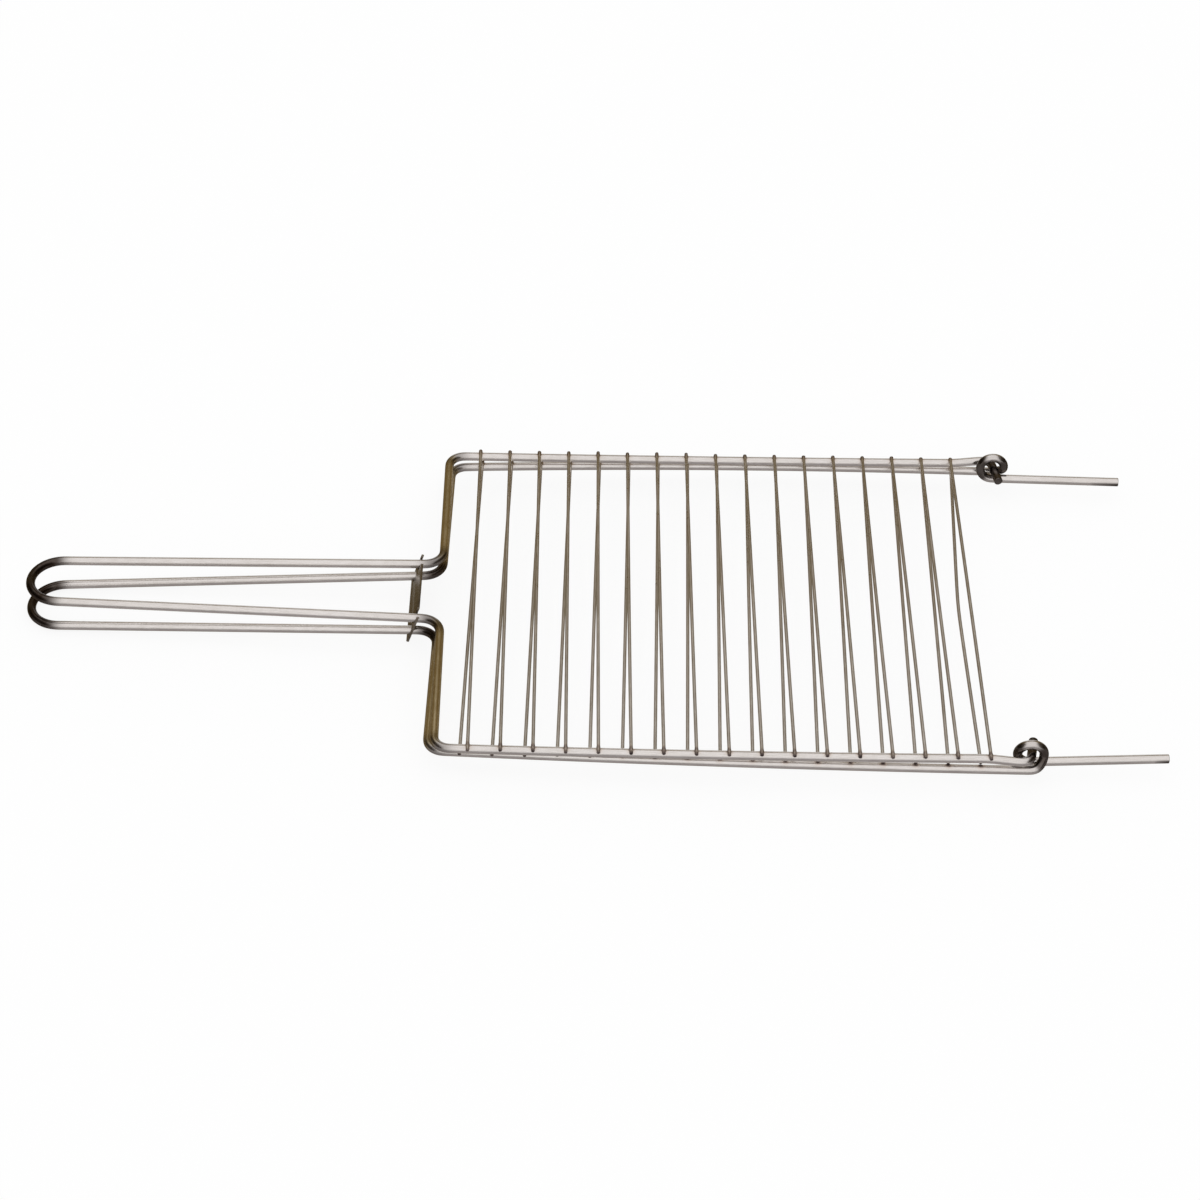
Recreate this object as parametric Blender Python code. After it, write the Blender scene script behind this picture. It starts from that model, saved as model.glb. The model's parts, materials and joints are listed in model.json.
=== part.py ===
"""Folding wire grill basket.

Two wire grids face each other.  Each grid is one thick wire, bent into a long
looped handle, a neck, two halves of a short side and two long sides, with
seventeen thin cross bars seated on top of the long sides.  At its +X end the
lower wire winds one turn into an eye on each side and runs on as a straight
leg; the upper wire ends in an inward hook through each eye, and the two hooks
are the hinge.  A flat plate stands across both handles: the lower one passes
through its two slots, the upper one lies in its two open notches.

World axes: +X runs from the handle to the legs, +Y across, +Z up, in metres.
The origin is at the centre of the bounding box in plan, on the lowest level.
A "side" is -1 or 1 and is the sign of y.
"""
import math
from typing import NamedTuple

import bpy
from mathutils import Matrix, Vector

MM = 0.001

# ------------------------------------------------------------- frame wires
FRAME_D = 5.8 * MM
GRID_GAP = 8.2 * MM          # lower to upper frame wire, centre to centre
HALF_W = 145.5 * MM          # nominal half width, the base of all skews
CORNER_R = 10.0 * MM         # short side to long side
NECK_R = 12.5 * MM           # handle to short side
NECK_HALF_W = 28.0 * MM      # nominal half spacing of the handle at the neck
GRIP_R = 20.2 * MM           # round end of the handle
HANDLE_SPREAD = 0.0284       # each handle wire's run-out per length

GRIP_STEPS = 7               # segments in each half of the grip's round end
ARC_STEP = math.radians(15.0)

# Facets: a bevel resolution of 2 gives a wire eight sides.
WIRE_BEVEL_RESOLUTION = 2
FACET_TILT = math.radians(22.5)
LEVEL_TILT = math.radians(-3.245)   # turns the lower wire's facets level


class Grid(NamedTuple):
    level: float             # height of the frame wire's centre line
    short_x: float           # short side
    short_skew: float        # how far the short side runs off square
    grip_x: float            # handle's end
    grip_rise: float         # handle's end above the level
    neck_rise: float         # neck above the level
    sides: dict              # side: half width at short side and eye, bow between
    side_jog: float          # outward step near the eye
    stations: tuple          # places along a long side, 0 to 1
    bar_skew: float          # how far a bar's end runs off square
    bar_shift_x: float
    bar_shift_y: float

    @property
    def neck_x(self):
        return self.short_x - NECK_R


EVEN_STATIONS = tuple(k / 10.0 for k in range(1, 10))
BAR_SKEW = 1.6 * MM
BAR_SHIFT_X = 1.0 * MM
BAR_SHIFT_Y = 2.5 * MM
SHORT_SKEW = 1.5 * MM

LOWER = Grid(
    level=10.107 * MM,
    short_x=-93.7 * MM,
    short_skew=SHORT_SKEW,
    grip_x=-359.3 * MM,
    grip_rise=-7.4 * MM,
    neck_rise=0.2 * MM,
    sides={-1: (138.2 * MM, 146.7 * MM, 1.8 * MM),
           1: (141.4 * MM, 146.7 * MM, 3.6 * MM)},
    side_jog=0.0,
    stations=EVEN_STATIONS + (1.0,),
    bar_skew=BAR_SKEW,
    bar_shift_x=-BAR_SHIFT_X,
    bar_shift_y=BAR_SHIFT_Y,
)
UPPER = Grid(
    level=LOWER.level + GRID_GAP,
    short_x=-92.2 * MM,
    short_skew=-SHORT_SKEW,
    grip_x=-357.8 * MM,
    grip_rise=5.7 * MM,
    neck_rise=2.1 * MM,
    sides={-1: (144.3 * MM, 145.4 * MM, 1.6 * MM),
           1: (143.3 * MM, 145.3 * MM, -1.0 * MM)},
    side_jog=2.8 * MM,       # clears the eye
    stations=EVEN_STATIONS + (0.92, 0.94, 0.96, 0.98, 1.0),
    bar_skew=-BAR_SKEW,
    bar_shift_x=BAR_SHIFT_X,
    bar_shift_y=-BAR_SHIFT_Y,
)
JOG_START, JOG_SPAN = 0.92, 0.075   # where along the long side the jog runs

# ------------------------------------------------------ eyes, legs and hooks
EYE_X = 275.85 * MM          # centre of the wound eyes
EYE_R = 8.2 * MM             # eye's centre-line radius
EYE_PITCH = 7.5 * MM         # one turn's sideways lead, inward
EYE_STEPS = 24
# The turn moves inward in two steps: the first one over a short part of the
# turn, the rest of the pitch over its last half.
EYE_SIDE = 5.6 * MM
EYE_SIDE_START, EYE_SIDE_SPAN = 0.05, 0.22

LEG_LEN_X = 85.985 * MM
LEG_IN = {-1: 2.4 * MM, 1: 4.6 * MM}       # each leg's lean inward
LEG_RISE = 2.2 * MM

HOOK_DX = 0.5 * MM           # hinge line beyond the eye's centre
HOOK_R = 5.0 * MM
HOOK_SPLAY = 0.176           # the hook's run along X per length across
HOOK_LEN = {-1: 19.4 * MM, 1: 22.5 * MM}
HINGE = Vector((EYE_X + HOOK_DX, 0.0, UPPER.level))

# ---------------------------------------------------------------- cross bars
BAR_D = 2.2 * MM
BAR_COUNT = 17
BAR_PITCH = 20.0 * MM
BAR_LEN = 296.0 * MM
BAR_FIRST_X = -72.1 * MM     # first bar, nearest the handle
BAR_SEAT = 4.0 * MM          # bar centre above the frame wire's centre

# The last lower bar is bent towards the handle.
KINK_DEPTH = 4.3 * MM
KINK_HALF_W = 147.0 * MM     # the bend fades to nothing here
KINK_ROUNDING = 0.10         # roundness of the bend's peak
KINK_STATIONS = (0.0, 0.34, 0.42, 0.46, 0.50, 0.54, 0.62, 1.0)

# --------------------------------------------------------------- latch plate
PLATE_T = 1.5 * MM
PLATE_HALF_W = 31.5 * MM
PLATE_HALF_H = 11.5 * MM
PLATE_X = -109.7 * MM
PLATE_Z = LOWER.level + 3.9 * MM
PLATE_LEAN = math.radians(18.9)
PLATE_CORNER_R = 2.0 * MM    # lower corners
PLATE_TIP_R = 0.7 * MM       # upper corners and notch mouths
PLATE_CLEAR = 0.45 * MM      # gap round a handle wire
PLATE_INWARD = 1.2 * MM      # extra inward width, for the handle's taper
OPENING_R = 0.5 * FRAME_D + PLATE_CLEAR
OPENING_HALF_H = 0.5 * FRAME_D / math.cos(PLATE_LEAN) + PLATE_CLEAR


# ------------------------------------------------------------- wire geometry
def smooth(t):
    t = min(max(t, 0.0), 1.0)
    return t * t * (3.0 - 2.0 * t)


def fillet(corners):
    """Round a plan polyline given as (x, y, radius); radius 0 stays sharp."""
    points = [Vector(corner[:2]) for corner in corners]
    out = [corners[0][:2]]
    for i in range(1, len(corners) - 1):
        point, radius = points[i], corners[i][2]
        if radius <= 0.0:
            out.append(corners[i][:2])
            continue
        back = (points[i - 1] - point).normalized()
        ahead = (points[i + 1] - point).normalized()
        half = 0.5 * back.angle(ahead)
        centre = point + (back + ahead).normalized() * (radius / math.sin(half))
        start = point + back * (radius / math.tan(half)) - centre
        turn = math.pi - 2.0 * half
        sign = 1.0 if ahead.x * back.y - ahead.y * back.x > 0.0 else -1.0
        steps = max(2, int(round(turn / ARC_STEP)))
        for k in range(steps + 1):
            angle = sign * turn * k / steps
            c, s = math.cos(angle), math.sin(angle)
            out.append((centre.x + start.x * c - start.y * s,
                        centre.y + start.x * s + start.y * c))
    out.append(corners[-1][:2])
    return out


def side_y(grid, side, t):
    """Half width of a long side, from the short side (0) to the eye (1)."""
    start, end, bow = grid.sides[side]
    jog = grid.side_jog * smooth((t - JOG_START) / JOG_SPAN)
    return start + (end - start) * t + bow * 4.0 * t * (1.0 - t) + jog


def half_corners(grid, side, end_x):
    """One half of a frame wire in plan, from the grip's end to end_x."""
    corners = []
    centre_x = grid.grip_x + GRIP_R
    last = 0.5 * math.pi + math.atan(HANDLE_SPREAD)
    for k in range(GRIP_STEPS + 1):
        angle = math.pi + (last - math.pi) * k / GRIP_STEPS
        corners.append((centre_x + GRIP_R * math.cos(angle),
                        side * GRIP_R * math.sin(angle), 0.0))

    # the spreading handle wire meets the skewed short side at the neck
    skew = side * grid.short_skew / HALF_W
    x, y, _ = corners[-1]
    neck_y = ((abs(y) + HANDLE_SPREAD * (grid.short_x - x))
              / (1.0 - HANDLE_SPREAD * skew))
    for y, radius in ((neck_y, NECK_R), (side_y(grid, side, 0.0), CORNER_R)):
        corners.append((grid.short_x + skew * y, side * y, radius))

    for t in grid.stations:
        corners.append((grid.short_x + (end_x - grid.short_x) * t,
                        side * side_y(grid, side, t), 0.0))
    return corners


def handle_slope(grid):
    """A handle wire's rise per length along +X."""
    return (grid.neck_rise - grid.grip_rise) / (grid.neck_x - grid.grip_x)


def handle_z(grid, x):
    return grid.level + grid.neck_rise + handle_slope(grid) * (x - grid.neck_x)


def frame_z(grid, x, y):
    """Height of a frame wire's centre line over its plan."""
    if x <= grid.neck_x:
        return handle_z(grid, x)
    if x > grid.short_x + CORNER_R:
        return grid.level
    # the short side falls from the neck to the corner
    inner = NECK_HALF_W + NECK_R
    outer = side_y(grid, 1 if y > 0.0 else -1, 0.0) - CORNER_R
    t = (abs(y) - inner) / (outer - inner)
    return grid.level + grid.neck_rise * (1.0 - min(max(t, 0.0), 1.0))


def raised(grid, corners):
    return [(x, y, frame_z(grid, x, y)) for x, y in fillet(corners)]


def eye_shift(t):
    """Inward shift of the wound wire at t of a turn."""
    return (EYE_SIDE * smooth((t - EYE_SIDE_START) / EYE_SIDE_SPAN)
            + (EYE_PITCH - EYE_SIDE) * smooth((t - 0.5) / 0.5))


def lower_half(side):
    """Half of the lower frame wire, with its eye and leg."""
    points = raised(LOWER, half_corners(LOWER, side, EYE_X))
    eye_y = side_y(LOWER, side, 1.0)
    for k in range(1, EYE_STEPS + 1):
        t = k / EYE_STEPS
        angle = 2.0 * math.pi * t
        points.append((EYE_X + EYE_R * math.sin(angle),
                       side * (eye_y - eye_shift(t)),
                       LOWER.level + EYE_R * (1.0 - math.cos(angle))))
    points.append((EYE_X + LEG_LEN_X,
                   side * (eye_y - EYE_PITCH - LEG_IN[side]),
                   LOWER.level + LEG_RISE))
    return points


def upper_half(side):
    """Half of the upper frame wire; its hook crosses the eye on the hinge line."""
    end_y = side_y(UPPER, side, 1.0)
    ring_y = side_y(LOWER, side, 1.0) - EYE_SIDE
    base_x = HINGE.x - HOOK_SPLAY * (end_y - ring_y)
    length = HOOK_LEN[side]
    corners = half_corners(UPPER, side, base_x)
    corners[-1] = (base_x, side * end_y, HOOK_R)
    corners.append((base_x + HOOK_SPLAY * length, side * (end_y - length), 0.0))
    return raised(UPPER, corners)


def whole(half):
    return half(-1)[::-1] + half(1)[1:]


# ------------------------------------------------------------ object helpers
def steel(name, colour, roughness):
    mat = bpy.data.materials.new(name)
    mat.use_nodes = True
    inputs = mat.node_tree.nodes["Principled BSDF"].inputs
    inputs["Base Color"].default_value = (*colour, 1.0)
    inputs["Roughness"].default_value = roughness
    inputs["Metallic"].default_value = 1.0
    return mat


def curve_object(name, dimensions, mat):
    curve = bpy.data.curves.new(name, "CURVE")
    curve.dimensions = dimensions
    curve.resolution_u = 1
    curve.materials.append(mat)
    ob = bpy.data.objects.new(name, curve)
    basket.objects.link(ob)
    return ob


def add_polyline(curve, points):
    spline = curve.splines.new("POLY")
    spline.points.add(len(points) - 1)
    for spline_point, point in zip(spline.points, points):
        spline_point.co = (*point, 1.0)
    return spline


def wire(name, points, diameter, mat, origin=(0.0, 0.0, 0.0), tilt=FACET_TILT,
         parent=None):
    """A round wire through world points; with a parent, its origin is the parent's."""
    ob = curve_object(name, "3D", mat)
    curve = ob.data
    curve.twist_mode = "MINIMUM"
    curve.bevel_depth = 0.5 * diameter
    curve.bevel_resolution = WIRE_BEVEL_RESOLUTION
    curve.use_fill_caps = True
    if parent is None:
        ob.location = origin
    else:
        origin = parent.location
        ob.parent = parent
    spline = add_polyline(curve, [Vector(point) - Vector(origin) for point in points])
    spline.use_smooth = True
    for spline_point in spline.points:
        spline_point.tilt = tilt


# ---------------------------------------------------------------------- bars
def kink(y):
    """Share of the kinked bar's bend at y: 1 in the middle, 0 at the ends."""
    u = min(abs(y) / KINK_HALF_W, 1.0)
    top = math.hypot(1.0, KINK_ROUNDING)
    return (top - math.hypot(u, KINK_ROUNDING)) / (top - KINK_ROUNDING)


def bar_points(grid, nominal_x, kinked):
    points = []
    for t in KINK_STATIONS if kinked else (0.0, 1.0):
        y = (t - 0.5) * BAR_LEN + grid.bar_shift_y
        x = nominal_x + grid.bar_shift_x + grid.bar_skew * y / HALF_W
        if kinked:
            x -= KINK_DEPTH * kink(y)
        points.append((x, y, grid.level + BAR_SEAT))
    return points


def build_bars(mat, hinge):
    for i in range(BAR_COUNT):
        x = BAR_FIRST_X + i * BAR_PITCH
        wire("lower_bar_%02d" % (i + 1), bar_points(LOWER, x, i == BAR_COUNT - 1),
             BAR_D, mat, origin=(x, 0.0, LOWER.level + BAR_SEAT))
        wire("upper_bar_%02d" % (i + 1), bar_points(UPPER, x, False),
             BAR_D, mat, parent=hinge)


# --------------------------------------------------------------- latch plate
# Drawn flat: local X across, local Y up the plate.
def plate_crossing(grid):
    """Where a handle wire passes the plate: (half spacing, height in it)."""
    sine, cosine = math.sin(PLATE_LEAN), math.cos(PLATE_LEAN)
    height = ((handle_z(grid, PLATE_X) - PLATE_Z)
              / (cosine - handle_slope(grid) * sine))
    x = PLATE_X + height * sine
    return GRIP_R + HANDLE_SPREAD * (x - grid.grip_x - GRIP_R), height


def arc(x, y, radius, start, end, steps):
    """Points round a centre, between two angles in degrees."""
    angles = [math.radians(start + (end - start) * k / steps) for k in range(steps + 1)]
    return [(x + radius * math.cos(a), y + radius * math.sin(a)) for a in angles]


def plate_outline():
    wire_y, height = plate_crossing(UPPER)
    outer = wire_y + OPENING_R
    inner = wire_y - OPENING_R - PLATE_INWARD
    floor = height - OPENING_HALF_H
    tip_y = PLATE_HALF_H - PLATE_TIP_R
    right = []
    # centre x, centre y, radius, start and end angle, steps
    for entry in (
            (PLATE_HALF_W - PLATE_CORNER_R, PLATE_CORNER_R - PLATE_HALF_H,
             PLATE_CORNER_R, -90, 0, 4),
            (PLATE_HALF_W - PLATE_TIP_R, tip_y, PLATE_TIP_R, 0, 90, 3),
            (outer + PLATE_TIP_R, tip_y, PLATE_TIP_R, 90, 180, 3),
            (outer - OPENING_R, floor + OPENING_R, OPENING_R, 0, -90, 4),
            (inner + OPENING_R, floor + OPENING_R, OPENING_R, -90, -180, 4),
            (inner - PLATE_TIP_R, tip_y, PLATE_TIP_R, 0, 90, 3)):
        right += arc(*entry)
    return right + [(-x, y) for x, y in reversed(right)]


def plate_slot(side):
    wire_y, height = plate_crossing(LOWER)
    stretch = OPENING_HALF_H / OPENING_R
    points = arc(wire_y, 0.0, OPENING_R, -90, 90, 8)
    points += arc(wire_y - PLATE_INWARD, 0.0, OPENING_R, 90, 270, 8)
    points = [(side * x, height + y * stretch) for x, y in points]
    return points if side < 0 else points[::-1]


def build_plate(mat):
    plate = curve_object("latch_plate", "2D", mat)
    plate.data.fill_mode = "BOTH"
    plate.data.extrude = 0.5 * PLATE_T
    for loop in (plate_outline(), plate_slot(-1), plate_slot(1)):
        spline = add_polyline(plate.data, [(x, y, 0.0) for x, y in loop])
        spline.use_cyclic_u = True
    plate.location = (PLATE_X, 0.0, PLATE_Z)
    # local X lies along world Y; local Y leans from upright towards +X
    s, c = math.sin(PLATE_LEAN), math.cos(PLATE_LEAN)
    plate.rotation_euler = Matrix(((0.0, s, c),
                                   (1.0, 0.0, 0.0),
                                   (0.0, c, -s))).to_euler()


# ------------------------------------------------------------------ the model
for old in list(bpy.data.objects):
    bpy.data.objects.remove(old, do_unlink=True)
basket = bpy.data.collections.new("grill_basket")
bpy.context.scene.collection.children.link(basket)

frame_steel = steel("frame_wire_steel", colour=(0.66, 0.64, 0.60), roughness=0.16)
bar_steel = steel("bar_wire_steel", colour=(0.48, 0.44, 0.38), roughness=0.24)
plate_steel = steel("latch_sheet_steel", colour=(0.52, 0.48, 0.42), roughness=0.26)

# the lower grid is the fixed body; the upper one turns about the hinge line
wire("lower_frame_wire", whole(lower_half), FRAME_D, frame_steel,
     tilt=FACET_TILT + LEVEL_TILT)
hinge_line = bpy.data.objects.new("hinge_line", None)
hinge_line.location = HINGE
basket.objects.link(hinge_line)
wire("upper_frame_wire", whole(upper_half), FRAME_D, frame_steel, parent=hinge_line)
build_bars(bar_steel, hinge_line)
build_plate(plate_steel)
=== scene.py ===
"""A hinged grill basket in bright plated round wire, on a pale floor in soft light.

It lies flat, +Z up: the two grids one above the other, the bars along Y, the hinge at the
+X end and the handle towards -X with the latch plate standing across it.  The camera looks
down from the -Y side.  In the code a side of -1 or +1 is the sign of y.
"""
import json
import math
import random
from types import SimpleNamespace

import bmesh
import bpy
import numpy as np
from mathutils import Matrix, Vector, noise


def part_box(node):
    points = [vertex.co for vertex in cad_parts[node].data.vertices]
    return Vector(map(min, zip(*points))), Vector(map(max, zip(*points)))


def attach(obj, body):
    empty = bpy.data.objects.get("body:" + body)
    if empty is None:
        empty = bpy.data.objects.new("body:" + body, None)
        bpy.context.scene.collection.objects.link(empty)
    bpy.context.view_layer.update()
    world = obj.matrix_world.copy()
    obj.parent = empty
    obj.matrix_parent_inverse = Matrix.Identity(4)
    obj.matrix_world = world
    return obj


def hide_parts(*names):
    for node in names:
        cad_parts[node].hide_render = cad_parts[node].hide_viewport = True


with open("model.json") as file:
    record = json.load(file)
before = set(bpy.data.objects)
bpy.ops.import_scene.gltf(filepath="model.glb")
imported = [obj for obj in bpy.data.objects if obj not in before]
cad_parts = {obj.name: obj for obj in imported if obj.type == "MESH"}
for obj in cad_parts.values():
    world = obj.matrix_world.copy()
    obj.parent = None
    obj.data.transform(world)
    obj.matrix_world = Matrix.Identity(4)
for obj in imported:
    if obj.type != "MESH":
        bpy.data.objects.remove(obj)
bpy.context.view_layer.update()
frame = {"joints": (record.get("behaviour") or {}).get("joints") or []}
HINGE = Vector(next(j for j in frame["joints"] if j["name"] == "grid_hinge")["pos_m"])

MM = 0.001

# --------------------------------------------------------------------------
# sizes
# --------------------------------------------------------------------------
WIRE_R = 2.9 * MM
BAR_R = 1.1 * MM
BARS = 17                    # in each grid
HALF_W = 145.5 * MM          # nominal half width of a grid, which the skews refer to
CORNER_R = 10.0 * MM

# handle: the sides run from the neck bends to a round grip at the -X end
NECK_R = 12.5 * MM
NECK_Y = 28.0 * MM           # where the neck bend starts to rise, less its radius
GRIP_R = 20.2 * MM
SPREAD = 0.0284              # how fast the handle sides part towards the grid, dy/dx
FACET_R = 2.68 * MM          # least radius of the frame's eight-sided wires

# eyes: the lower wire turns once round the hinge and ends in a short leg
EYE_X = HINGE.x - 0.5 * MM
EYE_R = 8.2 * MM
EYE_SIDE = 5.6 * MM          # inward step early in the turn
EYE_PITCH = 7.5 * MM         # inward step over the whole turn
LEG_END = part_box("lower_frame_wire")[1][0] - 0.17 * MM
LEG_IN = {-1: 2.4 * MM, 1: 4.6 * MM}
LEG_RISE = 2.2 * MM

# hooks: the upper wire's ends turn inward through the eyes
HOOK_R = 5.0 * MM
HOOK_LEN = {-1: 19.4 * MM, 1: 22.5 * MM}
HOOK_JOG = 2.8 * MM          # outward step just before the hook
HOOK_SPLAY = 0.176           # lean of the hook towards +X, dx/dy

# For each grid: x of the grip's end and of the short side by the handle, rises above the
# level, skews, and for each long side its half width at the short side, its half width at
# the eye and the outward bow between.  The grids lie a little offset sideways.
LOWER = SimpleNamespace(
    name="lower", level=HINGE.z - 8.2 * MM,
    apex_x=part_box("lower_frame_wire")[0][0] + FACET_R, apex_rise=-7.4 * MM,
    short_x=-93.7 * MM, short_skew=1.5 * MM / HALF_W, neck_rise=0.2 * MM,
    bar_skew=1.6 * MM,
    sides={-1: (138.2 * MM, 146.7 * MM, 1.8 * MM),
           1: (141.4 * MM, 146.7 * MM, 3.6 * MM)})
UPPER = SimpleNamespace(
    name="upper", level=HINGE.z,
    apex_x=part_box("upper_frame_wire")[0][0] + FACET_R, apex_rise=5.7 * MM,
    short_x=-92.2 * MM, short_skew=-1.5 * MM / HALF_W, neck_rise=2.1 * MM,
    bar_skew=-1.6 * MM,
    sides={-1: (144.3 * MM, 145.4 * MM, 1.6 * MM),
           1: (143.3 * MM, 145.3 * MM, -1.0 * MM)})
GRIDS = (LOWER, UPPER)


# --------------------------------------------------------------------------
# frame wire paths
# --------------------------------------------------------------------------
def smooth(t):
    """0 up to t = 0, 1 from t = 1, smooth between."""
    t = np.clip(t, 0.0, 1.0)
    return t * t * (3.0 - 2.0 * t)


def fillet(corners, step=math.radians(4.0)):
    """A flat polyline of (x, y, radius) with its corners rounded; radius 0 stays sharp."""
    out = [corners[0][:2]]
    for before, (x, y, radius), after in zip(corners, corners[1:], corners[2:]):
        corner = Vector((x, y))
        if radius <= 0.0:
            out.append(tuple(corner))
            continue
        back = (Vector(before[:2]) - corner).normalized()
        ahead = (Vector(after[:2]) - corner).normalized()
        half = 0.5 * back.angle(ahead)
        centre = corner + (back + ahead).normalized() * (radius / math.sin(half))
        start = corner + back * (radius / math.tan(half)) - centre
        turn = math.pi - 2.0 * half
        sign = 1.0 if back.y * ahead.x - back.x * ahead.y > 0.0 else -1.0
        count = max(2, int(round(turn / step)))
        for k in range(count + 1):
            angle = sign * turn * k / count
            c, s = math.cos(angle), math.sin(angle)
            out.append((centre.x + start.x * c - start.y * s,
                        centre.y + start.x * s + start.y * c))
    out.append(corners[-1][:2])
    return out


def side_y(t, grid, side):
    """Half width of a long side, t = 0 at the short side and 1 at the hinge."""
    at_short, at_eye, bow = grid.sides[side]
    y = at_short + (at_eye - at_short) * t + bow * 4.0 * t * (1.0 - t)
    if grid is UPPER:
        y += HOOK_JOG * smooth((t - 0.92) / 0.075)
    return y


def half_plan(side, grid, end_x):
    """One half of a frame wire seen from above, from the grip's end to end_x."""
    left = grid.short_x
    grip_x = grid.apex_x + GRIP_R
    corners = []
    last = 0.5 * math.pi + math.atan(SPREAD)
    for k in range(31):
        angle = math.pi + (last - math.pi) * k / 30
        corners.append((grip_x + GRIP_R * math.cos(angle),
                        side * GRIP_R * math.sin(angle), 0.0))
    x0, y0, _ = corners[-1]
    x = left
    for _ in range(4):       # settles where the handle side meets the skewed short side
        y = abs(y0) + SPREAD * (x - x0)
        x = left + grid.short_skew * side * y
    corners.append((x, side * y, NECK_R))
    y = side_y(0.0, grid, side)
    corners.append((left + grid.short_skew * side * y, side * y, CORNER_R))
    steps = [k / 40.0 for k in range(2, 37)]
    steps += [0.92, 0.93, 0.94, 0.95, 0.96, 0.97, 0.98, 1.0]     # closer at the jog
    for t in steps:
        corners.append((left + (end_x - left) * t, side * side_y(t, grid, side), 0.0))
    return fillet(corners)


def wire_z(x, y, grid):
    """Height of a frame wire: level round the grid, sloping along neck and handle."""
    neck_x = grid.short_x - NECK_R
    if x <= neck_x:
        slope = (grid.apex_rise - grid.neck_rise) / (neck_x - grid.apex_x)
        return grid.level + grid.neck_rise + slope * (neck_x - x)
    if x > grid.short_x + CORNER_R * 0.99:
        return grid.level
    y_in = NECK_Y + NECK_R
    y_out = side_y(0.0, grid, 1 if y > 0.0 else -1) - CORNER_R
    t = (abs(y) - y_in) / (y_out - y_in)
    return grid.level + grid.neck_rise * (1.0 - min(max(t, 0.0), 1.0))


def lower_half(side):
    """Half of the lower wire, with its eye and leg."""
    points = [(x, y, wire_z(x, y, LOWER)) for x, y in half_plan(side, LOWER, EYE_X)]
    eye_y = abs(points[-1][1])
    for k in range(1, 97):
        t = k / 96.0
        angle = 2.0 * math.pi * t
        inward = (EYE_SIDE * smooth((t - 0.05) / 0.22)
                  + (EYE_PITCH - EYE_SIDE) * smooth((t - 0.5) / 0.5))
        points.append((EYE_X + EYE_R * math.sin(angle), side * (eye_y - inward),
                       LOWER.level + EYE_R * (1.0 - math.cos(angle))))
    points.append((LEG_END, side * (eye_y - EYE_PITCH - LEG_IN[side]),
                   LOWER.level + LEG_RISE))
    return points


def upper_half(side):
    """Half of the upper wire, with its hook."""
    end_y = side_y(1.0, UPPER, side)
    ring_y = side_y(1.0, LOWER, side) - EYE_SIDE
    base_x = HINGE.x - HOOK_SPLAY * (end_y - ring_y)
    plan = half_plan(side, UPPER, base_x)
    tip = (base_x + HOOK_SPLAY * HOOK_LEN[side], side * (end_y - HOOK_LEN[side]))
    hook = fillet([(*plan[-2], 0.0), (*plan[-1], HOOK_R), (*tip, 0.0)])
    return [(x, y, wire_z(x, y, UPPER)) for x, y in plan[:-1] + hook[1:]]


def lengths_along(path):
    return np.r_[0.0, np.cumsum(np.linalg.norm(np.diff(path, axis=0), axis=1))]


def resample(points, step, soften):
    """Even points along a polyline, blurred over `soften` so bends have no kinks."""
    path = np.asarray(points, float)
    path = path[np.r_[True, np.linalg.norm(np.diff(path, axis=0), axis=1) > 1e-7]]
    lengths = lengths_along(path)
    count = int(math.ceil(lengths[-1] / step))
    spots = np.linspace(0.0, lengths[-1], count + 1)
    even = np.stack([np.interp(spots, lengths, path[:, i]) for i in range(3)], axis=1)
    gap = lengths[-1] / count
    reach = int(math.ceil(3.0 * soften / gap))
    weights = np.exp(-0.5 * (np.arange(-reach, reach + 1) * gap / soften) ** 2)
    weights /= weights.sum()
    # mirrored run-outs keep the ends in place
    head = 2.0 * even[0] - even[1:reach + 1][::-1]
    tail = 2.0 * even[-1] - even[-reach - 1:-1][::-1]
    longer = np.vstack([head, even, tail])
    eased = np.stack([np.convolve(longer[:, i], weights, "valid") for i in range(3)], axis=1)
    eased[0], eased[-1] = even[0], even[-1]
    return eased


def frame_path(half):
    """A whole frame wire from its -Y end round the grip to its +Y end."""
    points = list(reversed(half(-1))) + half(1)[1:]
    return resample(points, step=1.2 * MM, soften=1.6 * MM)


FRAME_PATH = {"lower": frame_path(lower_half), "upper": frame_path(upper_half)}


# --------------------------------------------------------------------------
# sweeps
# --------------------------------------------------------------------------
def tangents(path):
    along = np.gradient(path, axis=0)
    return along / np.linalg.norm(along, axis=1)[:, None]


def carried_frames(path):
    """Tangent, up and side vectors carried along the path without twist."""
    tangent = tangents(path)
    up = np.zeros_like(path)
    carried = np.array((0.0, 0.0, 1.0))
    for i, along in enumerate(tangent):
        carried = carried - along * float(np.dot(carried, along))
        carried = carried / np.linalg.norm(carried)
        up[i] = carried
    return tangent, up, np.cross(tangent, up)


def add_attribute(mesh, name, values):
    mesh.attributes.new(name, "FLOAT", "POINT").data.foreach_set("value", values)


def vertex_places(mesh):
    places = np.empty(len(mesh.vertices) * 3)
    mesh.vertices.foreach_get("co", places)
    return places.reshape(-1, 3)


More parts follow.
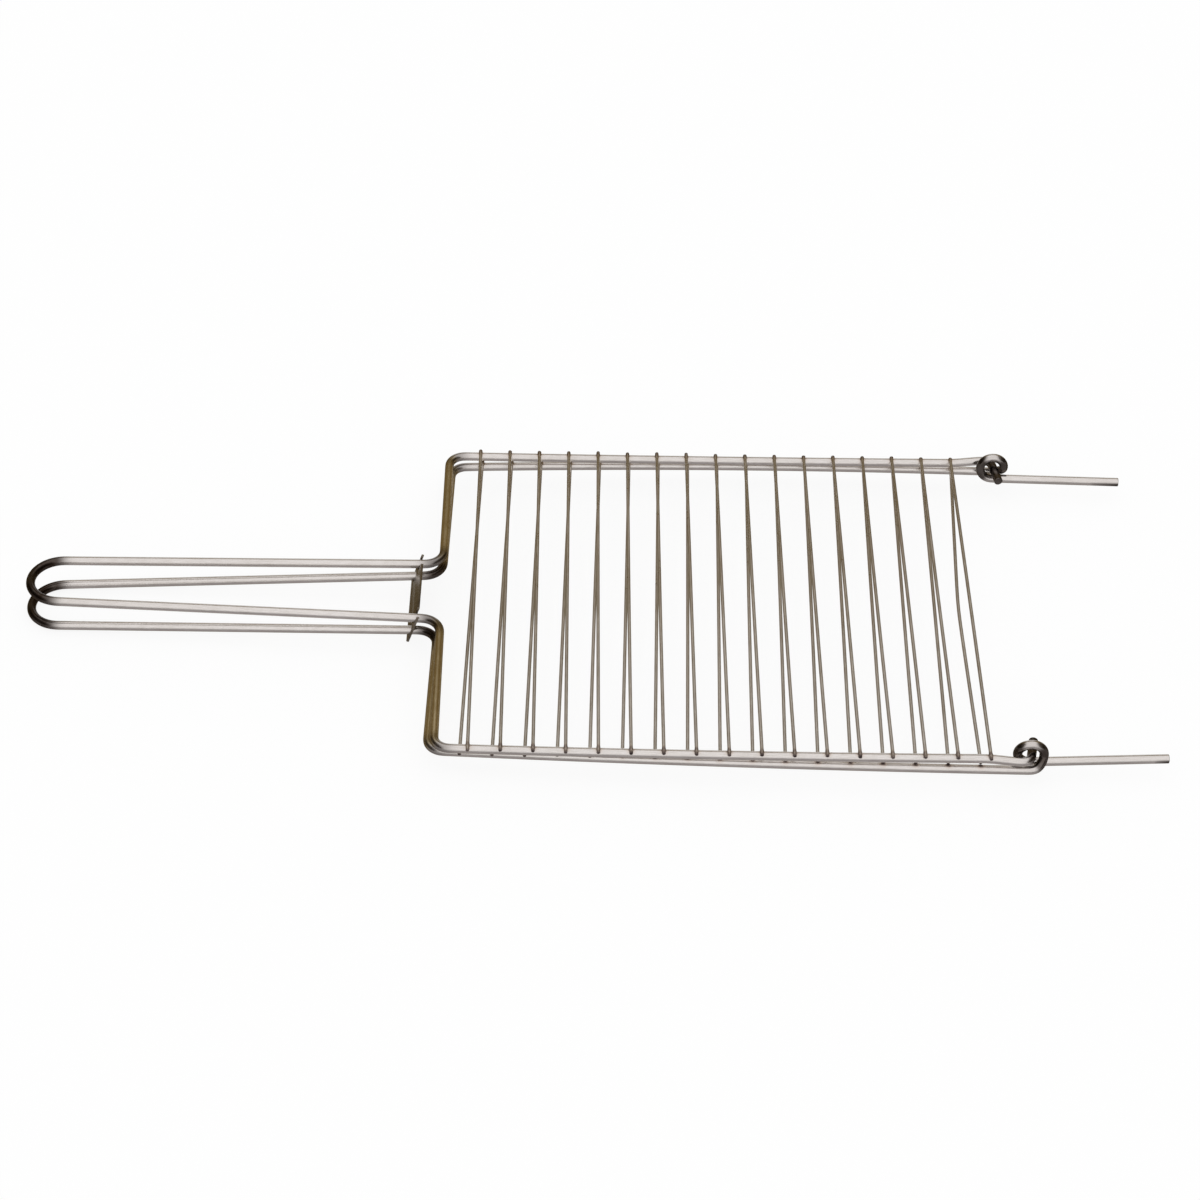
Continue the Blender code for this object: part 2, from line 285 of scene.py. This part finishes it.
def tube(name, path, radius, sides, chamfer, shape=None):
    """A swept wire with sheared, chamfered ends.  shape(point, centre, length, angle, up)
    may move each point.  Attributes hold the length along and the turn round."""
    dish = 0.12 * MM         # how far the middle of each end is sunk
    tangent, up, across = carried_frames(path)
    lengths = lengths_along(path)
    angles = np.arange(sides) * 2.0 * math.pi / sides
    last = len(path) - 1

    def ring(i, centre, size):
        return [centre + size * (math.cos(a) * up[i] + math.sin(a) * across[i])
                for a in angles]

    rings = [ring(0, path[0], radius - chamfer)]
    for i, centre in enumerate(path):
        if i == 0:
            centre = centre + tangent[0] * chamfer * 0.8
        elif i == last:
            centre = centre - tangent[-1] * chamfer * 0.8
        points = ring(i, centre, radius)
        if shape is not None:
            points = [shape(point, centre, lengths[i], a, up[i])
                      for point, a in zip(points, angles)]
        rings.append(points)
    rings.append(ring(last, path[-1], radius - chamfer))
    verts = np.vstack([*rings, path[0] + tangent[0] * dish, path[-1] - tangent[-1] * dish])

    def quad(r, k, k2):
        return (r * sides + k, r * sides + k2, (r + 1) * sides + k2, (r + 1) * sides + k)

    pairs = [(k, (k + 1) % sides) for k in range(sides)]
    faces = [quad(r, k, k2) for r in range(len(rings) - 1) for k, k2 in pairs]
    middle = len(rings) * sides
    top = middle - sides
    for k, k2 in pairs:
        faces.append((k2, k, middle))
        faces.append((top + k, top + k2, middle + 1))

    mesh = bpy.data.meshes.new(name)
    mesh.from_pydata(verts.tolist(), [], faces)
    mesh.update()
    ring_lengths = np.r_[0.0, lengths, lengths[-1]]
    add_attribute(mesh, "along", np.r_[np.repeat(ring_lengths, sides), 0.0, lengths[-1]])
    add_attribute(mesh, "turn",
                  np.r_[np.tile(angles / (2.0 * math.pi), len(rings)), 0.0, 0.0])
    mesh.shade_smooth()
    ob = bpy.data.objects.new(name, mesh)
    bpy.context.scene.collection.objects.link(ob)
    mesh.set_sharp_from_angle(angle=math.radians(35.0))
    return ob


def hand_over(ob, rides, replaced):
    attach(ob, rides)
    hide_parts(replaced)


# --------------------------------------------------------------------------
# welds: every bar crosses both long sides of its grid
# --------------------------------------------------------------------------
def bar_line(grid, number):
    """The straight line of a bar, from its -Y end to its +Y end."""
    lo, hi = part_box("%s_bar_%02d" % (grid.name, number))
    x, y, z = ((lo[k] + hi[k]) * 0.5 for k in range(3))
    if number == BARS and grid is LOWER:     # it is bent, but its ends stand in the row
        lo1, hi1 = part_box("lower_bar_%02d" % (number - 1))
        lo2, hi2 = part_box("lower_bar_%02d" % (number - 2))
        x = lo1[0] + hi1[0] - 0.5 * (lo2[0] + hi2[0])
    half = 0.5 * (hi[1] - lo[1])
    skew = grid.bar_skew * half / HALF_W
    return np.array([[x - skew, y - half, z], [x + skew, y + half, z]])


def side_at(path, x, side):
    """Where a frame wire's long side passes x."""
    run = path[(np.sign(path[:, 1]) == side) & (path[:, 0] > -0.07)
               & (path[:, 0] < EYE_X - 0.012) & (np.abs(path[:, 1]) > 0.12)]
    run = run[np.argsort(run[:, 0])]
    return np.array([x, np.interp(x, run[:, 0], run[:, 1]),
                     np.interp(x, run[:, 0], run[:, 2])])


def bar_welds(grid, number):
    """The bar's two welds: (place, fraction along the bar)."""
    path = FRAME_PATH[grid.name]
    start, end = bar_line(grid, number)
    welds = []
    for side in (-1, 1):
        place = side_at(path, 0.5 * (start[0] + end[0]), side)
        fraction = (place[1] - start[1]) / (end[1] - start[1])
        place = side_at(path, start[0] + (end[0] - start[0]) * fraction, side)
        welds.append((place, fraction))
    return welds


WELDS = {grid.name: {i: bar_welds(grid, i) for i in range(1, BARS + 1)} for grid in GRIDS}


# --------------------------------------------------------------------------
# wear and painted shade, stored as point attributes
# --------------------------------------------------------------------------
def add_tint(ob, grid, reach, ends=()):
    """Heat tint round the welds and the sheared ends."""
    places = vertex_places(ob.data)
    weld_top = np.array([0.0, 0.0, WIRE_R + 0.3 * MM])
    spots = [(place + weld_top, reach, 1.0)
             for welds in WELDS[grid.name].values() for place, _ in welds]
    spots += [(end, 2.1 * MM, 1.15) for end in ends]
    tint = np.zeros(len(places))
    for spot, size, strength in spots:
        distance = np.linalg.norm(places - spot, axis=1)
        tint = np.maximum(tint, strength * np.exp(-(distance / size) ** 2))
    add_attribute(ob.data, "tint", tint)


def bend_shade_amount(path, grid):
    """How much painted shade each path point takes at bends, standing in for the dark
    reflections there.
    """
    tangent = tangents(path)
    curl = np.linalg.norm(np.gradient(tangent, axis=0), axis=1)
    curl = curl / np.gradient(lengths_along(path))           # 1/m
    amount = np.clip((curl - 18.0) / 26.0, 0.0, 1.0)
    blur = np.exp(-0.5 * (np.arange(-8, 9) / 2.6) ** 2)
    amount = np.convolve(np.pad(amount, 8, mode="edge"), blur / blur.sum(), "valid")
    x, y = path[:, 0], np.abs(path[:, 1])
    by_hinge = x > 0.24
    # strength at the grip, the hinge end and the neck, then everywhere else
    amount = amount * np.select([x < -0.25, by_hinge, y < 0.06],
                                [1.0, 0.80, 0.72 if grid is UPPER else 1.0], 0.50)
    # less where the wire runs along X at the hinge
    along_x = smooth((np.abs(tangent[:, 0]) - 0.70) / 0.26)
    amount = amount * np.where(by_hinge, 1.15 * (1.0 - 0.86 * along_x), 1.0)
    if grid is UPPER:        # the hooks take the painted shade all along
        amount = np.where((x > 0.25) & (y < 0.1445), 0.90, amount)
    return amount


def add_bend_shade(ob, grid):
    """Painted shade at the bends, standing in for dark reflections, and on the lower wire
    painted shade under the leg ends.
    Also the cross attribute: the runs along Y of the short side, which take a painted warm
    reflection."""
    path, mesh = FRAME_PATH[grid.name], ob.data
    lengths = lengths_along(path)
    along = np.empty(len(mesh.vertices))
    mesh.attributes["along"].data.foreach_get("value", along)
    bend_shade = np.interp(along, lengths, bend_shade_amount(path, grid))
    if grid is LOWER:
        ends = np.maximum(np.clip(1.0 - along / (9.0 * MM), 0.0, 1.0),
                          np.clip(1.0 - (lengths[-1] - along) / (19.0 * MM), 0.0, 1.0))
        core_z = np.interp(along, lengths, path[:, 2])
        # painted shade on the lower side of the leg ends
        under = np.clip(2.2 * (core_z - vertex_places(mesh)[:, 2]) / WIRE_R + 1.2, 0.0, 1.0)
        bend_shade = np.maximum(bend_shade, 0.95 * np.sqrt(ends) * under)
    x = path[:, 0]
    # runs along Y on the short side, which take a painted warm reflection
    across = smooth((np.abs(tangents(path)[:, 1]) - 0.55) / 0.4) * ((x > -0.2) & (x < 0.2))
    add_attribute(mesh, "bend_shade", bend_shade)
    add_attribute(mesh, "cross", np.interp(along, lengths, across))


# --------------------------------------------------------------------------
# materials
# --------------------------------------------------------------------------
class Graph:
    """Short hands for shader graphs.  Values may be sockets, numbers or RGB tuples."""

    def __init__(self, owner):
        owner.use_nodes = True
        self.nodes, self.links = owner.node_tree.nodes, owner.node_tree.links

    def put(self, socket, value):
        if isinstance(value, bpy.types.NodeSocket):
            self.links.new(value, socket)
        else:
            socket.default_value = (*value, 1.0) if isinstance(value, tuple) else value

    def add(self, kind, **inputs):
        """A node; inputs are by socket name with _ for spaces."""
        node = self.nodes.new("ShaderNode" + kind)
        self.fill(node, **inputs)
        return node

    def fill(self, node, **inputs):
        for name, value in inputs.items():
            self.put(node.inputs[name.replace("_", " ")], value)

    def attribute(self, name):
        node = self.add("Attribute")
        node.attribute_name = name
        return node.outputs["Fac"]

    def split(self, vector):
        return self.add("SeparateXYZ", Vector=vector).outputs

    def math(self, operation, *values):
        node = self.add("Math")
        node.operation = operation
        for socket, value in zip(node.inputs, values):
            self.put(socket, value)
        return node.outputs[0]

    def invert(self, value):
        return self.math("SUBTRACT", 1.0, value)

    def spread(self, value, source, target):
        """Maps the source range to the target range, clamped."""
        return self.add("MapRange", Value=value, From_Min=source[0], From_Max=source[1],
                        To_Min=target[0], To_Max=target[1]).outputs[0]

    def step(self, value, low, high):
        """0 below low, 1 above high, smooth between."""
        node = self.add("MapRange", Value=value, From_Min=low, From_Max=high)
        node.interpolation_type = "SMOOTHSTEP"
        return node.outputs[0]

    def mix(self, fac, first, second, blend="MIX"):
        node = self.add("MixRGB", Fac=fac, Color1=first, Color2=second)
        node.blend_type = blend
        return node.outputs[0]

    def ramp(self, fac, *stops):
        """Stops are (position, colour), in rising order."""
        node = self.add("ValToRGB", Fac=fac)
        elements = node.color_ramp.elements
        for element, (position, colour) in zip(elements, (stops[0], stops[-1])):
            element.position = position
            element.color = (*colour, 1.0)
        for position, colour in stops[1:-1]:
            elements.new(position).color = (*colour, 1.0)
        return node.outputs["Color"]

    def noise(self, vector, **inputs):
        return self.add("TexNoise", Vector=vector, **inputs).outputs["Fac"]


def draw_lines(graph):
    """Noise stretched along the wire, wrapped round it without a seam."""
    along, turn = graph.attribute("along"), graph.attribute("turn")
    angle = graph.math("MULTIPLY", turn, 6.283185)
    wrapped = graph.add("CombineXYZ", X=graph.math("COSINE", angle),
                        Y=graph.math("SINE", angle),
                        Z=graph.math("MULTIPLY", along, 18.0))
    return graph.noise(wrapped.outputs[0], Scale=9.0, Detail=5.0, Roughness=0.62)


def fade_along_y(graph, position, colour, rough):
    """The colour is darker and warmer towards +Y and the roughness higher towards -Y."""
    level = graph.spread(graph.split(position)["Y"], (-0.15, 0.11), (1.0, 0.0))
    shade = graph.mix(level, (0.88, 0.85, 0.80), (1.0, 1.0, 1.0))
    return (graph.mix(1.0, colour, shade, "MULTIPLY"),
            graph.math("MULTIPLY_ADD", level, 0.16, rough))


def heat_tint(graph, blotches, colour, rough):
    """Straw to brown, rougher metal where "tint" is high."""
    heat = graph.math("MULTIPLY", graph.attribute("tint"),
                      graph.spread(blotches, (0.3, 0.7), (0.55, 1.15)))
    shade = graph.ramp(heat, (0.0, (1.0, 1.0, 1.0)), (0.25, (0.92, 0.87, 0.83)),
                       (0.55, (0.56, 0.49, 0.46)), (0.82, (0.25, 0.21, 0.21)),
                       (1.0, (0.13, 0.105, 0.105)))
    return (graph.mix(1.0, colour, shade, "MULTIPLY"),
            graph.math("MULTIPLY_ADD", heat, 0.22, rough))


def paint_bend_shade(graph, blotches, colour):
    """Painted shade at the bends, standing in for dark reflections, and a painted warm
    reflection on the cross runs along Y.
    """
    bend_darkening = graph.math("MULTIPLY", graph.attribute("bend_shade"),
                      graph.spread(blotches, (0.30, 0.55), (0.87, 1.0)))
    # painted shade at the bends: near black, standing in for dark reflections
    colour = graph.mix(bend_darkening, colour, (0.060, 0.042, 0.032), "MULTIPLY")
    # painted warm reflection on the runs along Y
    return graph.mix(graph.attribute("cross"), colour, (0.93, 0.83, 0.56), "MULTIPLY")


def plated(name, light, dark, rough, streak=1.0, tinted=True, shaded_bends=False, fade=False):
    """Bright plated metal with fine draw lines and faint blotches of tarnish, and if asked
    painted shade at the bends.
    """
    material = bpy.data.materials.new(name)
    graph = Graph(material)
    lines = draw_lines(graph)
    position = graph.add("TexCoord").outputs["Object"]
    blotches = graph.noise(position, Scale=85.0, Detail=6.0, Roughness=0.6)
    broad = graph.noise(position, Scale=14.0, Detail=3.0)
    tarnish = graph.math("MULTIPLY_ADD", blotches, 0.5, graph.math("MULTIPLY", broad, 0.5))

    colour = graph.ramp(tarnish, (0.34, dark), (0.62, light))
    grooves = graph.ramp(lines, (0.30, (0.80, 0.78, 0.75)), (0.60, (1.0, 1.0, 1.0)))
    colour = graph.mix(0.8 * streak, colour, grooves, "MULTIPLY")
    roughness = graph.spread(tarnish, (0.3, 0.7), (rough * 0.75, rough * 1.5))
    if fade:
        colour, roughness = fade_along_y(graph, position, colour, roughness)
    if tinted:
        colour, roughness = heat_tint(graph, blotches, colour, roughness)
    # painted shade at the bends and painted warm reflection on the short side's runs along Y
    if shaded_bends:
        colour = paint_bend_shade(graph, blotches, colour)

    groove_bump = graph.add("Bump", Strength=0.22 * streak, Distance=0.00012, Height=lines)
    pit_bump = graph.add("Bump", Strength=0.10 * streak, Distance=0.0002, Height=blotches,
                         Normal=groove_bump.outputs["Normal"])
    graph.fill(graph.nodes["Principled BSDF"], Metallic=1.0, Base_Color=colour,
               Roughness=roughness, Normal=pit_bump.outputs["Normal"])
    return material


# the frame wires get painted shade at their bends
FRAME_MAT = plated("frame_wire_plated", light=(0.98, 0.955, 0.945), dark=(0.88, 0.85, 0.83),
                   rough=0.18, shaded_bends=True)
BAR_MAT = plated("bar_wire_plated", light=(0.96, 0.94, 0.91), dark=(0.82, 0.80, 0.77),
                 rough=0.24, streak=0.3, fade=True)
PLATE_MAT = plated("latch_sheet_plated", light=(0.46, 0.41, 0.34), dark=(0.20, 0.17, 0.13),
                   rough=0.26, streak=0.6, tinted=False)


# --------------------------------------------------------------------------
# frame wires
# --------------------------------------------------------------------------
def build_frame_wire(grid):
    ob = tube("%s_frame_wire_drawn" % grid.name, FRAME_PATH[grid.name], WIRE_R,
              sides=28, chamfer=0.35 * MM)
    add_tint(ob, grid, reach=1.9 * MM)
    add_bend_shade(ob, grid)
    ob.data.materials.append(FRAME_MAT)
    hand_over(ob, "%s_grid" % grid.name, "%s_frame_wire" % grid.name)


for grid in GRIDS:
    build_frame_wire(grid)

# --------------------------------------------------------------------------
# cross bars, pressed a little into the frame wires and fused there
# --------------------------------------------------------------------------
SINK = 0.28 * MM
MELT_REACH = 3.4 * MM        # half length of the melted stretch at a weld
MELT_WIDTH = 1.25 * MM       # how fast the melt dies away along the bar
MELT_SWELL = 0.26 * MM
MELT_DROP = 0.85 * MM
MELT_STEP = 0.22 * MM        # ring spacing at the welds
PLAIN_STEP = 2.6 * MM        # ring spacing elsewhere
KINK = 4.3 * MM              # the last lower bar is bent towards the handle
KINK_HALF = 147.0 * MM       # half length of the bent stretch
KINK_ROUND = 0.10            # roundness of the bend, as a share of KINK_HALF


def kink(y):
    """Share of the kink at y: 1 in the middle, 0 at the ends."""
    u = np.minimum(np.abs(y) / KINK_HALF, 1.0)
    top = math.hypot(1.0, KINK_ROUND)
    return (top - np.hypot(u, KINK_ROUND)) / (top - KINK_ROUND)


def bar_stations(length, marks, trims):
    """Lengths of the rings along a bar, closer at the welds."""
    end = length - trims[1]
    stations = [trims[0]]
    while stations[-1] < end - 0.05 * MM:
        near = min(abs(stations[-1] - mark) for mark in marks)
        step = MELT_STEP if near < MELT_REACH else PLAIN_STEP
        stations.append(min(stations[-1] + step, end))
    return np.array(stations)


def melted(marks, seeds):
    """A tube shape that swells the bar and lets it sag onto the wire at each weld."""
    def melt(point, centre, length, angle, up):
        for mark, seed in zip(marks, seeds):
            away = length - mark
            if abs(away) > MELT_REACH:
                continue
            near = math.exp(-(away / MELT_WIDTH) ** 2)
            grain = Vector((point[0] * 900 + seed, point[1] * 900, point[2] * 900))
            lump = 1.0 + 0.35 * noise.noise(grain)
            swell = (MELT_SWELL * near * lump * (0.25 + 0.75 * math.sin(angle) ** 2)
                     * (0.35 + 0.65 * max(0.0, 0.55 - math.cos(angle))))
            drop = MELT_DROP * near * max(0.0, -math.cos(angle)) * lump
            outward = point - centre
            point = point + outward / np.linalg.norm(outward) * swell - up * drop
        return point
    return melt


def build_bar(grid, number, rng):
    start, end = bar_line(grid, number)
    start[2] -= SINK
    end[2] -= SINK
    welds = WELDS[grid.name][number]
    length = float(np.linalg.norm(end - start))
    marks = sorted(fraction * length for _, fraction in welds)
    bow = rng.uniform(-0.25, 0.25) * MM
    sag = rng.uniform(-0.12, 0.12) * MM
    trims = (rng.uniform(0.0, 0.9) * MM, rng.uniform(0.0, 0.9) * MM)
    seeds = [rng.uniform(0, 100) for _ in welds]

    stations = bar_stations(length, marks, trims)
    path = start[None, :] + (end - start)[None, :] * (stations / length)[:, None]
    between = np.clip((stations - marks[0]) / (marks[1] - marks[0]), 0.0, 1.0)
    path[:, 0] += bow * np.sin(np.pi * between)
    path[:, 2] += sag * np.sin(np.pi * between)
    if number == BARS and grid is LOWER:
        path[:, 0] -= KINK * kink(path[:, 1])

    ob = tube("%s_bar_%02d_welded" % (grid.name, number), path, BAR_R,
              sides=18, chamfer=0.18 * MM, shape=melted(marks, seeds))
    add_tint(ob, grid, reach=2.5 * MM, ends=(path[0], path[-1]))
    ob.data.materials.append(BAR_MAT)
    hand_over(ob, "%s_grid" % grid.name, "%s_bar_%02d" % (grid.name, number))


bar_rng = random.Random(7)
for grid in GRIDS:
    for number in range(1, BARS + 1):
        build_bar(grid, number, bar_rng)

# --------------------------------------------------------------------------
# latch plate: stamped sheet with rounded edges.  The lower wire passes through two closed
# slots, the upper wire lies in two notches open at the top.
# --------------------------------------------------------------------------
PLATE_T = 1.5 * MM
PLATE_EDGE = 0.25 * MM       # edge rounding
PLATE_LEAN = math.radians(18.9)      # the top leans towards +X
PLATE_HALF_W = 31.5 * MM
PLATE_HALF_H = 11.5 * MM
PLATE_CORNER_R = 2.0 * MM    # bottom corners
PLATE_TIP_R = 0.7 * MM       # top corners, at the ends and at the notches
PLATE_INWARD = 1.2 * MM      # openings are longer inward by this
PLATE_CLEAR = 0.45 * MM      # gap round the wires
OPENING_R = WIRE_R + PLATE_CLEAR
lo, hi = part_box("latch_plate")
PLATE_C = Vector([(lo[k] + hi[k]) * 0.5 for k in range(3)])


def crossing(grid):
    """Where a handle side passes the plate: distance from the middle, height up it."""
    height = 0.0
    for _ in range(6):
        x = PLATE_C.x + height * math.sin(PLATE_LEAN)
        height = (wire_z(x, 0.0, grid) - PLATE_C.z) / math.cos(PLATE_LEAN)
    return GRIP_R + SPREAD * (x - grid.apex_x - GRIP_R), height


def arc(x, y, radius, start, end, steps):
    """Points on an arc, angles in degrees."""
    angles = [math.radians(start + (end - start) * k / steps) for k in range(steps + 1)]
    return [(x + radius * math.cos(a), y + radius * math.sin(a)) for a in angles]


def plate_outline():
    width, top, corner, tip = PLATE_HALF_W, PLATE_HALF_H, PLATE_CORNER_R, PLATE_TIP_R
    wire_y, wire_height = crossing(UPPER)
    r = OPENING_R
    outer, inner = wire_y + r, wire_y - r - PLATE_INWARD
    floor_y = wire_height - WIRE_R / math.cos(PLATE_LEAN) - PLATE_CLEAR
    half = arc(width - corner, -top + corner, corner, -90, 0, 10)
    half += arc(width - tip, top - tip, tip, 0, 90, 7)
    half += arc(outer + tip, top - tip, tip, 90, 180, 7)
    half += arc(outer - r, floor_y + r, r, 0, -90, 12)
    half += arc(inner + r, floor_y + r, r, -90, -180, 12)
    half += arc(inner - tip, top - tip, tip, 0, 90, 7)
    return half + [(-x, y) for x, y in reversed(half)]


def plate_slot(side):
    wire_y, wire_height = crossing(LOWER)
    r = OPENING_R
    stretch = (WIRE_R / math.cos(PLATE_LEAN) + PLATE_CLEAR) / r
    points = arc(wire_y, 0.0, r, -90, 90, 22)
    points += arc(wire_y - PLATE_INWARD, 0.0, r, 90, 270, 22)
    points = [(side * x, wire_height + y * stretch) for x, y in points]
    return points if side < 0 else list(reversed(points))


def add_loop(curve, points):
    """A closed spline without doubled points."""
    clean = [points[0]]
    for point in points[1:]:
        if math.dist(point, clean[-1]) > 1e-6:
            clean.append(point)
    if math.dist(clean[0], clean[-1]) < 1e-6:
        clean.pop()
    spline = curve.splines.new("POLY")
    spline.points.add(len(clean) - 1)
    for target, (x, y) in zip(spline.points, clean):
        target.co = (x, y, 0.0, 1.0)
    spline.use_cyclic_u = True


def plate_mesh():
    """The flat sheet, made from a filled curve."""
    curve = bpy.data.curves.new("latch_plate_outline", "CURVE")
    curve.dimensions = "2D"
    curve.fill_mode = "BOTH"
    curve.extrude = 0.5 * PLATE_T - PLATE_EDGE
    curve.bevel_depth = PLATE_EDGE
    curve.bevel_resolution = 3
    curve.offset = -PLATE_EDGE
    curve.resolution_u = 1
    for points in (plate_outline(), plate_slot(-1), plate_slot(1)):
        add_loop(curve, points)
    holder = bpy.data.objects.new("latch_tmp", curve)
    bpy.context.scene.collection.objects.link(holder)
    bpy.context.view_layer.update()
    evaluated = holder.evaluated_get(bpy.context.evaluated_depsgraph_get())
    mesh = bpy.data.meshes.new_from_object(evaluated)
    bpy.data.objects.remove(holder)
    bm = bmesh.new()
    bm.from_mesh(mesh)
    bmesh.ops.remove_doubles(bm, verts=bm.verts, dist=1e-6)
    bmesh.ops.recalc_face_normals(bm, faces=bm.faces)
    bm.to_mesh(mesh)
    bm.free()
    return mesh


def build_plate():
    mesh = plate_mesh()
    s, c = math.sin(PLATE_LEAN), math.cos(PLATE_LEAN)
    stand = Matrix(((0.0, s, c), (1.0, 0.0, 0.0), (0.0, c, -s))).to_4x4()
    mesh.transform(Matrix.Translation(PLATE_C) @ stand)
    mesh.name = "latch_plate_stamped"
    # stand-ins for the wires' length and turn, so the draw lines run along Y
    add_attribute(mesh, "along", [v.co.y for v in mesh.vertices])
    add_attribute(mesh, "turn", [v.co.z * 40.0 for v in mesh.vertices])
    mesh.shade_smooth()
    mesh.set_sharp_from_angle(angle=math.radians(50.0))
    mesh.materials.clear()   # resets what the curve conversion left
    mesh.materials.append(PLATE_MAT)
    plate = bpy.data.objects.new("latch_plate_stamped", mesh)
    bpy.context.scene.collection.objects.link(plate)
    hand_over(plate, "latch", "latch_plate")


build_plate()

# --------------------------------------------------------------------------
# floor, light, camera
# --------------------------------------------------------------------------
WHITE = (0.985, 0.985, 0.985)        # the world as all but reflections see it
# reflected surroundings
SHADE_NEAR = (0.320, 0.295, 0.288)   # towards -Y
SHADE_FAR = (0.150, 0.108, 0.050)    # towards +Y
SHADE_SIDE = (0.040, 0.028, 0.018)   # towards -X and +X
FLOOR_FRONT = (0.75, 0.735, 0.725)   # floor at a low angle towards -Y
FLOOR_BACK = (0.66, 0.64, 0.62)      # middle of the floor towards +Y
STRIP = (0.60, 0.58, 0.56)           # low middle of the wall towards +Y
SOFTBOX = (0.79, 0.765, 0.75)


def floor_material():
    """Pale to the camera, but a dim studio floor in the metal's reflections."""
    material = bpy.data.materials.new("floor_white")
    graph = Graph(material)
    pale = graph.nodes["Principled BSDF"]
    graph.fill(pale, Base_Color=(0.12, 0.12, 0.12), Roughness=1.0, Specular_IOR_Level=0.0,
               Emission_Color=(1.0, 1.0, 1.0), Emission_Strength=0.875)
    glossy = graph.add("LightPath").outputs["Is Glossy Ray"]
    # Incoming points back along the ray, so a ray heading +Y has a negative y here
    x, y, z = graph.split(graph.add("NewGeometry").outputs["Incoming"])
    far = graph.step(graph.math("MULTIPLY", y, -1.0), -0.1, 0.4)
    low = graph.invert(graph.step(z, 0.06, 0.26))
    front = graph.math("MULTIPLY", low, graph.step(y, 0.55, 0.85))
    glow = graph.mix(far, SHADE_NEAR, SHADE_FAR)
    glow = graph.mix(front, glow, FLOOR_FRONT)
    middle = graph.invert(graph.step(graph.math("ABSOLUTE", x), 0.16, 0.34))
    back = graph.math("MULTIPLY", middle,
                      graph.step(graph.math("MULTIPLY", y, -1.0), 0.35, 0.70))
    dim = graph.add("Emission", Color=graph.mix(back, glow, FLOOR_BACK), Strength=0.9)
    both = graph.add("MixShader")
    for socket, source in zip(both.inputs, (glossy, pale.outputs[0], dim.outputs[0])):
        graph.put(socket, source)
    graph.put(graph.nodes["Material Output"].inputs["Surface"], both.outputs[0])
    return material


def build_floor():
    size, z = 12.0, -0.0005
    mesh = bpy.data.meshes.new("floor")
    mesh.from_pydata([(-size, -size, z), (size, -size, z), (size, size, z),
                      (-size, size, z)], [], [(0, 1, 2, 3)])
    floor = bpy.data.objects.new("floor", mesh)
    bpy.context.scene.collection.objects.link(floor)
    mesh.materials.append(floor_material())


def build_world():
    """Overhead softbox reaching over the camera's side, with dim walls round it."""
    world = bpy.data.worlds.new("studio")
    bpy.context.scene.world = world
    graph = Graph(world)
    x, y, z = graph.split(graph.add("TexCoord").outputs["Generated"])
    across = graph.math("ABSOLUTE", x)
    # the softbox's edge is lower towards -Y and higher towards +Y
    lean = graph.math("ADD",
                      graph.math("MULTIPLY", graph.math("MAXIMUM", y, 0.0), -0.23),
                      graph.math("MULTIPLY", graph.math("MINIMUM", y, 0.0), -0.55))
    inside = graph.step(graph.math("ADD", lean, z), 0.50, 0.72)
    width = graph.invert(graph.math("MULTIPLY", graph.step(across, 0.36, 0.68), 0.95))
    softbox = graph.math("MULTIPLY", inside, width)

    wall = graph.mix(graph.step(y, -0.1, 0.4), SHADE_NEAR, SHADE_FAR)
    side_dark = graph.math("MULTIPLY", graph.step(across, 0.40, 0.75),
                           graph.invert(graph.step(y, 0.45, 0.75)))
    wall = graph.mix(side_dark, wall, SHADE_SIDE)
    low_far = graph.math("MULTIPLY", graph.step(y, 0.35, 0.70),
                         graph.invert(graph.step(z, 0.36, 0.58)))
    strip = graph.math("MULTIPLY", graph.invert(graph.step(across, 0.16, 0.34)), low_far)
    wall = graph.mix(strip, wall, STRIP)
    seen = graph.mix(softbox, wall, SOFTBOX)
    glossy = graph.add("LightPath").outputs["Is Glossy Ray"]
    graph.fill(graph.nodes["Background"], Color=graph.mix(glossy, WHITE, seen), Strength=1.0)


def build_camera():
    elevation, yaw, roll = math.radians(41.0), math.radians(-0.096), math.radians(1.022)
    distance = 2.0261
    target = Vector((0.01013, 0.00575, LOWER.level))
    forward = Vector((-math.sin(yaw) * math.cos(elevation),
                      math.cos(yaw) * math.cos(elevation), -math.sin(elevation)))
    level_right = Vector((math.cos(yaw), math.sin(yaw), 0.0))
    level_up = level_right.cross(forward)
    right = level_right * math.cos(roll) + level_up * math.sin(roll)
    up = -level_right * math.sin(roll) + level_up * math.cos(roll)
    data = bpy.data.cameras.new("camera")
    data.sensor_width = 36.0
    data.lens = 93.435
    data.clip_start, data.clip_end = 0.05, 60.0
    camera = bpy.data.objects.new("camera", data)
    placement = Matrix((right, up, -forward)).transposed().to_4x4()
    placement.translation = target - forward * distance
    camera.matrix_world = placement
    bpy.context.scene.collection.objects.link(camera)
    bpy.context.scene.camera = camera


build_floor()
build_world()
build_camera()
bpy.context.scene.view_settings.view_transform = "Standard"
